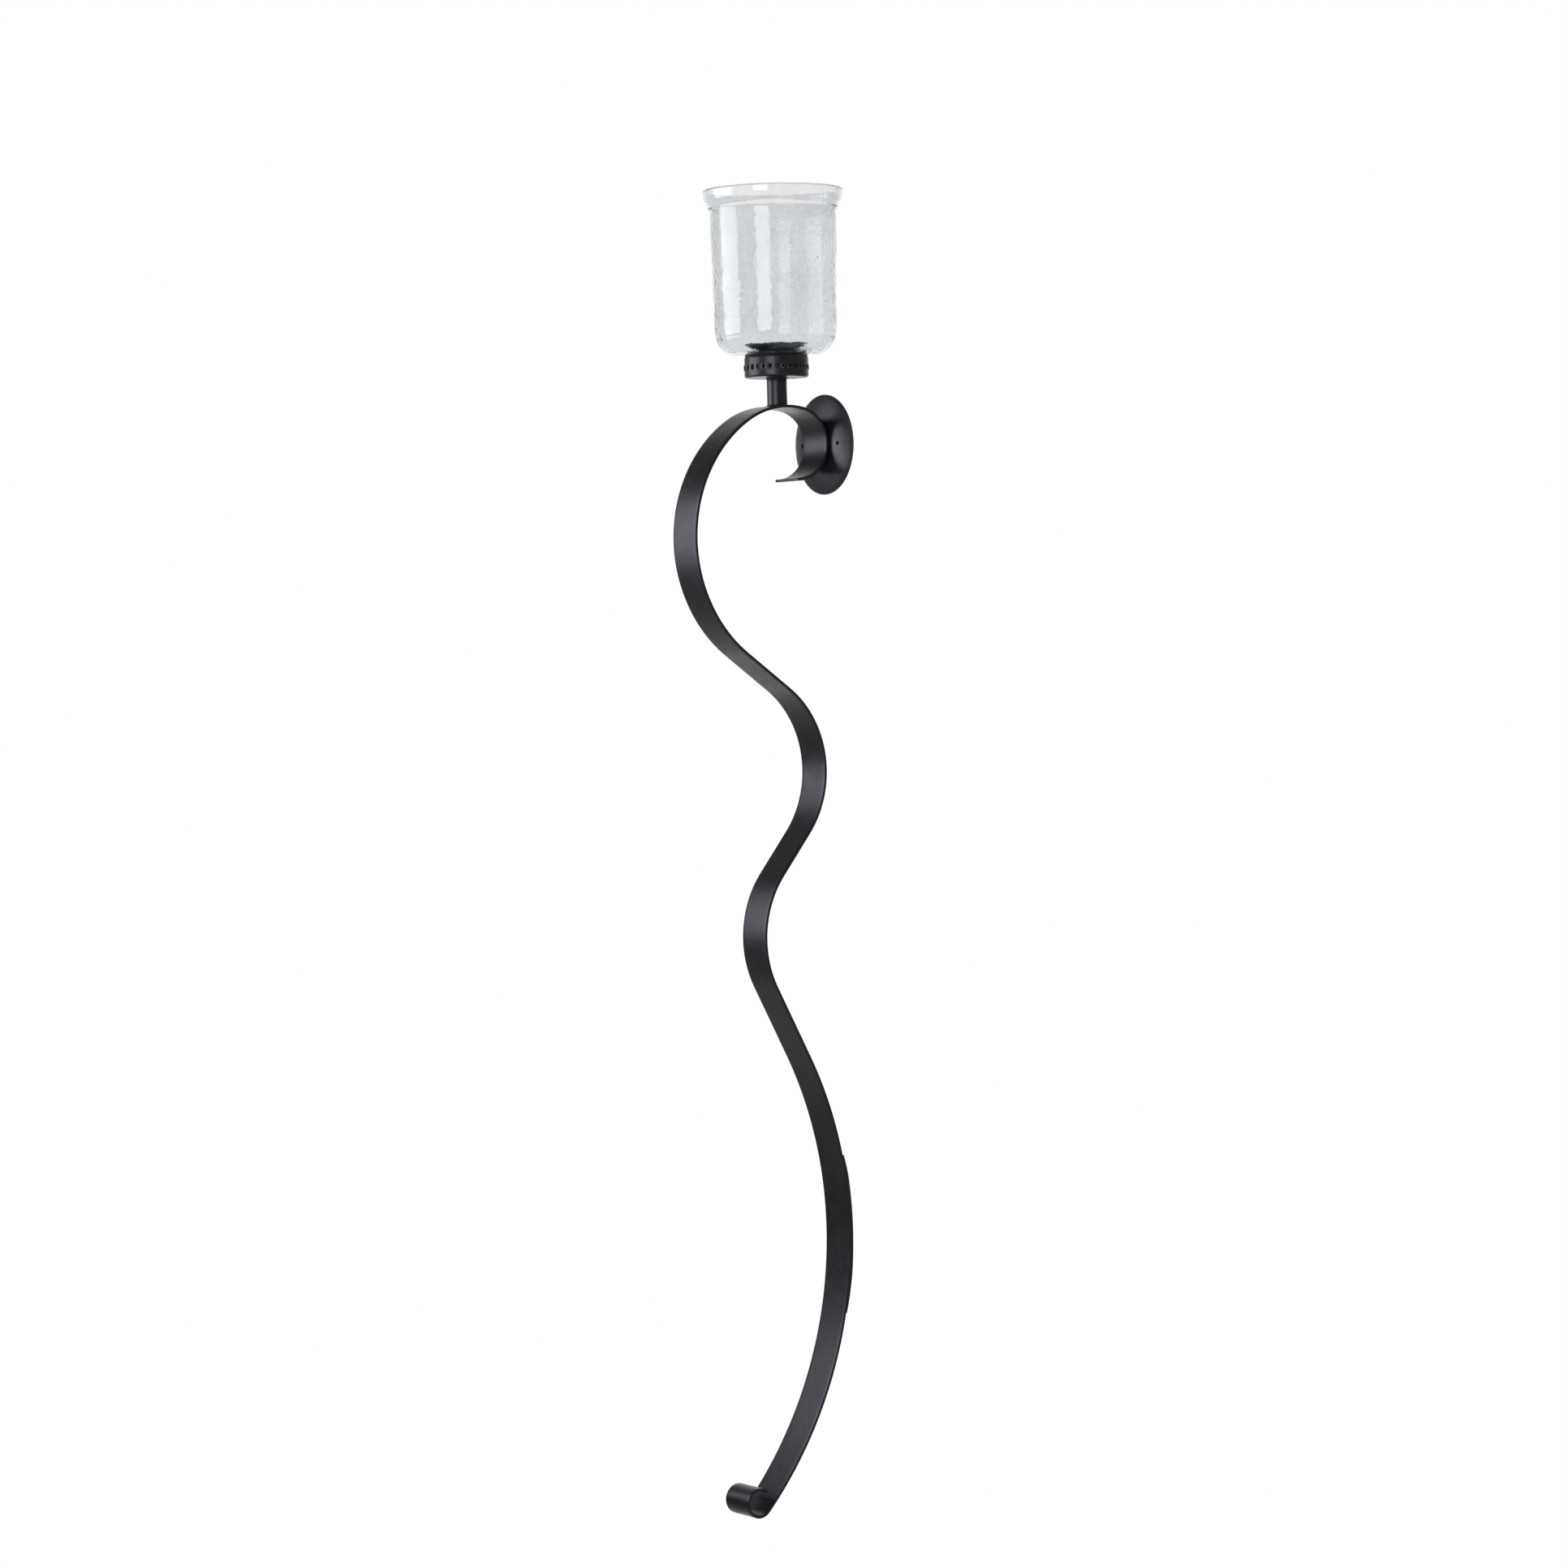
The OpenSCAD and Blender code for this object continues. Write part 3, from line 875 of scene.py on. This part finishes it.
def pan_outline():
    """A shallow dish of thin sheet with flared sides and a rounded lip."""
    slope = (pan_r - pan_foot_r) / pan_h
    edge = 0.15 * MM
    lip = 0.45 * MM
    return spread(rounded([(screw_hole_r, 0, edge), (pan_foot_r, 0, 1.2 * MM), (pan_r, pan_h, lip),
                           (pan_r - pan_t, pan_h, lip),
                           (pan_foot_r - pan_t + slope * pan_t, pan_t, 0.5 * MM),
                           (screw_hole_r, pan_t, edge)], 5), 2.5 * MM)


piece("pan", [turned(pan_outline(), 128, (0, stem_y, pan_lo.z))], "pan", ["candle_pan"],
      coat, sharp=38)


# ---------------------------------------------------------------- washer, screw and stem nut
def split_washer():
    """A split spring washer, its two ends a little apart in height."""
    outer = washer_hi.x
    inner = screw_hole_r
    top = washer_hi.z - washer_lo.z
    gap = math.radians(14)
    climb = 0.12 * MM
    edge = 0.1 * MM
    steps = 60
    rings = []
    for k in range(steps + 1):
        a = gap / 2 + (2 * math.pi - gap) * k / steps
        low = climb * k / steps
        high = top - climb + low
        section = rounded([(inner, low, edge), (outer, low, edge), (outer, high, edge),
                           (inner, high, edge)], 2)
        rings.append([Vector((r * math.cos(a), stem_y + r * math.sin(a), washer_lo.z + z))
                      for r, z in section])
    return skin(rings)


piece("lock_washer", [split_washer()], "washer", ["spring_washer"], steel, sharp=40)

head_h = 1.8 * MM
head_r = screw_hi.x
head_z = screw_hi.z - head_h
pitch = 0.8 * MM


def screw_shell():
    """Low-headed machine screw with a cut right-hand thread."""
    steps = 48
    shank = 1.2 * MM
    thread_h = head_z - screw_lo.z - shank
    thread_depth = 0.46 * MM
    rows = int(thread_h / (pitch / 10))
    heights = [thread_h * k / rows for k in range(rows + 1)]
    head = [(screw_r, head_z - 0.2 * MM), (screw_r + 0.2 * MM, head_z), (head_r - 0.3 * MM, head_z),
            (head_r, head_z + 0.3 * MM), (head_r, head_z + 0.6 * MM), (head_r * 0.93, head_z + 1.25 * MM),
            (head_r * 0.72, head_z + 1.65 * MM), (head_r * 0.42, head_z + head_h), (0, head_z + head_h)]
    rings = []
    for i in range(steps):
        a = 2 * math.pi * i / steps
        ring = [Vector((0, stem_y, screw_lo.z))]
        for z in heights:
            turn = (z / pitch - a / (2 * math.pi)) % 1.0
            tooth = 1 - abs(2 * turn - 1)
            depth = thread_depth * max(0.0, min(1.0, 1.25 * tooth - 0.12))
            end = min(1.0, z / (0.9 * MM))
            fade = min(1.0, (thread_h - z) / (1.2 * MM))
            r = screw_r - 0.02 * MM - depth * fade - (1 - end) * 0.6 * MM
            ring.append(Vector((r * math.cos(a), stem_y + r * math.sin(a), screw_lo.z + z)))
        for r, z in head:
            ring.append(Vector((r * math.cos(a), stem_y + r * math.sin(a), z)))
        rings.append(ring)
    return skin(rings, loop=True, closed=False)


def recess_arm(turn):
    """One bar of the cross recess, tapered downwards."""
    half_l = 2.3 * MM
    half_w = 0.55 * MM
    depth = 1.2 * MM
    rings = []
    for h, grow in ((-depth, 0.72), (0.5 * MM, 1.1)):
        ring = []
        for u, v in ((-1, -1), (1, -1), (1, 1), (-1, 1)):
            x = u * half_l * (grow if h < 0 else 1)
            y = v * half_w * grow
            c, s = math.cos(turn), math.sin(turn)
            ring.append(Vector((x * c - y * s, stem_y + x * s + y * c, screw_hi.z + h)))
        rings.append(ring)
    return skin(rings)


screw = piece("machine_screw", [screw_shell()], "screw", ["clamp_screw"], steel, sharp=40)
recess_turn = 0.35
cut(screw, [recess_arm(recess_turn), recess_arm(recess_turn + math.pi / 2)])

stem_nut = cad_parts["stem_nut"]
stem_nut.data.materials.clear()
stem_nut.data.materials.append(steel)


# ---------------------------------------------------------------- floor, lights and camera
target = Vector((0, stem_y, (cad_lo.z + cad_hi.z) / 2))


def flat_emitter(name, colour, strength):
    """A plain glowing material for the floor."""
    mat = bpy.data.materials.new(name)
    mat.use_nodes = True
    tree = mat.node_tree
    tree.nodes.clear()
    out = tree.nodes.new("ShaderNodeOutputMaterial")
    glow = tree.nodes.new("ShaderNodeEmission")
    glow.inputs["Color"].default_value = (*colour, 1)
    glow.inputs["Strength"].default_value = strength
    tree.links.new(glow.outputs[0], out.inputs["Surface"])
    return mat


floor_z = cad_lo.z - 0.45
floor_half = 40.0
floor_corners = [Vector((x * floor_half, y * floor_half, floor_z))
                 for x, y in ((-1, -1), (1, -1), (1, 1), (-1, 1))]
floor = piece("floor", [(floor_corners, [(0, 1, 2, 3)])], None, (),
              flat_emitter("pale_floor", (1, 1, 1), 1.0))
floor.visible_glossy = False
floor.visible_diffuse = False
floor.visible_shadow = False

def maths(tree, kind, a, b):
    """A maths node on two values, each a number or a socket."""
    node = tree.nodes.new("ShaderNodeMath")
    node.operation = kind
    for socket, value in zip(node.inputs, (a, b)):
        if isinstance(value, bpy.types.NodeSocket):
            tree.links.new(value, socket)
        else:
            socket.default_value = value
    return node.outputs[0]


def hide_through_glass(data):
    """The light shows in reflections, also those inside the glass, but not straight through it."""
    data.use_nodes = True
    tree = data.node_tree
    glow = next(node for node in tree.nodes if node.bl_idname == "ShaderNodeEmission")
    path = tree.nodes.new("ShaderNodeLightPath")
    through = maths(tree, "GREATER_THAN", path.outputs["Transmission Depth"], 0.5)
    straight = maths(tree, "LESS_THAN", path.outputs["Glossy Depth"], 0.5)
    hidden = maths(tree, "MULTIPLY", through, straight)
    tree.links.new(maths(tree, "SUBTRACT", 1.0, hidden), glow.inputs["Strength"])


def softbox(name, azimuth, elevation, distance, width, height, power, colour):
    """An area light in that direction from the object, aimed at it. Angles are in degrees."""
    data = bpy.data.lights.new(name, "AREA")
    data.shape = "RECTANGLE"
    data.size = width
    data.size_y = height
    data.energy = power
    data.color = colour
    obj = bpy.data.objects.new(name, data)
    a = math.radians(azimuth)
    e = math.radians(elevation)
    away = Vector((math.sin(a) * math.cos(e), -math.cos(a) * math.cos(e), math.sin(e)))
    obj.location = target + away * distance
    obj.rotation_mode = "QUATERNION"
    obj.rotation_quaternion = (-away).to_track_quat("-Z", "Y")
    obj.visible_camera = False
    hide_through_glass(data)
    bpy.context.scene.collection.objects.link(obj)


softbox("key", CAMERA_AZ - 90, elevation=14.2, distance=1.75, width=1.28, height=0.98, power=18.5,
        colour=(0.93, 0.95, 1.0))
softbox("strip", CAMERA_AZ - 20, elevation=9, distance=3.0, width=1.3, height=1.6, power=34,
        colour=(0.97, 0.98, 1.0))


def studio_world():
    """White to look at, also through glass; in reflections a dim studio with a few pale sides."""
    world = bpy.data.worlds.new("studio")
    bpy.context.scene.world = world
    world.use_nodes = True
    tree = world.node_tree
    tree.nodes.clear()

    def add(kind, **settings):
        node = tree.nodes.new(kind)
        for key, value in settings.items():
            setattr(node, key, value)
        return node

    direction = add("ShaderNodeTexCoord").outputs["Generated"]

    def lobe(axis, low, high, level):
        """Light that rises to level inside a soft cone round axis, from cosine low to high."""
        dot = add("ShaderNodeVectorMath", operation="DOT_PRODUCT")
        tree.links.new(direction, dot.inputs[0])
        dot.inputs[1].default_value = axis
        cone = add("ShaderNodeMapRange", interpolation_type="SMOOTHSTEP")
        tree.links.new(dot.outputs["Value"], cone.inputs["Value"])
        cone.inputs["From Min"].default_value = low
        cone.inputs["From Max"].default_value = high
        cone.inputs["To Min"].default_value = 0.0
        cone.inputs["To Max"].default_value = level
        return cone.outputs["Result"]

    def toward(azimuth):
        a = math.radians(azimuth)
        return (math.sin(a), -math.cos(a), 0.0)

    dim = 0.04
    backdrop = lobe(toward(CAMERA_AZ + 180), low=0.64, high=0.98, level=1.7)
    side_wall = lobe(toward(CAMERA_AZ + 90), low=0.1, high=0.7, level=0.3)
    sweep = lobe((0, 0, -1), low=0.1, high=0.7, level=0.46)
    total = maths(tree, "ADD", backdrop, dim)
    total = maths(tree, "ADD", total, side_wall)
    total = maths(tree, "ADD", total, sweep)
    studio = add("ShaderNodeBackground")
    tree.links.new(total, studio.inputs["Strength"])
    white = add("ShaderNodeBackground")
    white.inputs["Strength"].default_value = 1.0
    white.inputs["Color"].default_value = (1, 1, 1, 1)
    path = add("ShaderNodeLightPath")
    seen = maths(tree, "MAXIMUM", path.outputs["Is Camera Ray"], path.outputs["Is Transmission Ray"])
    seen = maths(tree, "MAXIMUM", seen, path.outputs["Is Diffuse Ray"])
    mix = add("ShaderNodeMixShader")
    tree.links.new(seen, mix.inputs[0])
    tree.links.new(studio.outputs[0], mix.inputs[1])
    tree.links.new(white.outputs[0], mix.inputs[2])
    out = add("ShaderNodeOutputWorld")
    tree.links.new(mix.outputs[0], out.inputs["Surface"])


studio_world()
bpy.context.scene.view_settings.view_transform = "Standard"


# Angles in degrees. The last three place the origin before the camera, in metres: how far
# ahead of it, to its right and below its axis.
CAMERA_TILT = 1.612
CAMERA_ROLL = 1.28
CAMERA_DEPTH = 3.49
CAMERA_SIDE = 0.03277
CAMERA_DROP = -0.27182


def make_camera():
    """Camera round to one side of the object, looking slightly down and slightly rolled."""
    az = math.radians(CAMERA_AZ)
    tilt = math.radians(CAMERA_TILT)
    roll = math.radians(CAMERA_ROLL)
    right = Vector((math.cos(az), math.sin(az), 0))
    ahead = Vector((-math.sin(az), math.cos(az), 0))
    up = Vector((0, 0, 1))
    view = ahead * math.cos(tilt) - up * math.sin(tilt)
    down = -up * math.cos(tilt) - ahead * math.sin(tilt)
    x_axis = right * math.cos(roll) + down * math.sin(roll)
    y_down = down * math.cos(roll) - right * math.sin(roll)
    place = -(x_axis * CAMERA_SIDE + y_down * CAMERA_DROP + view * CAMERA_DEPTH)
    data = bpy.data.cameras.new("camera")
    data.lens = 100
    data.sensor_width = 36
    data.clip_end = 200
    obj = bpy.data.objects.new("camera", data)
    obj.matrix_world = Matrix((
        (x_axis.x, -y_down.x, -view.x, place.x),
        (x_axis.y, -y_down.y, -view.y, place.y),
        (x_axis.z, -y_down.z, -view.z, place.z),
        (0, 0, 0, 1)))
    bpy.context.scene.collection.objects.link(obj)
    bpy.context.scene.camera = obj


make_camera()
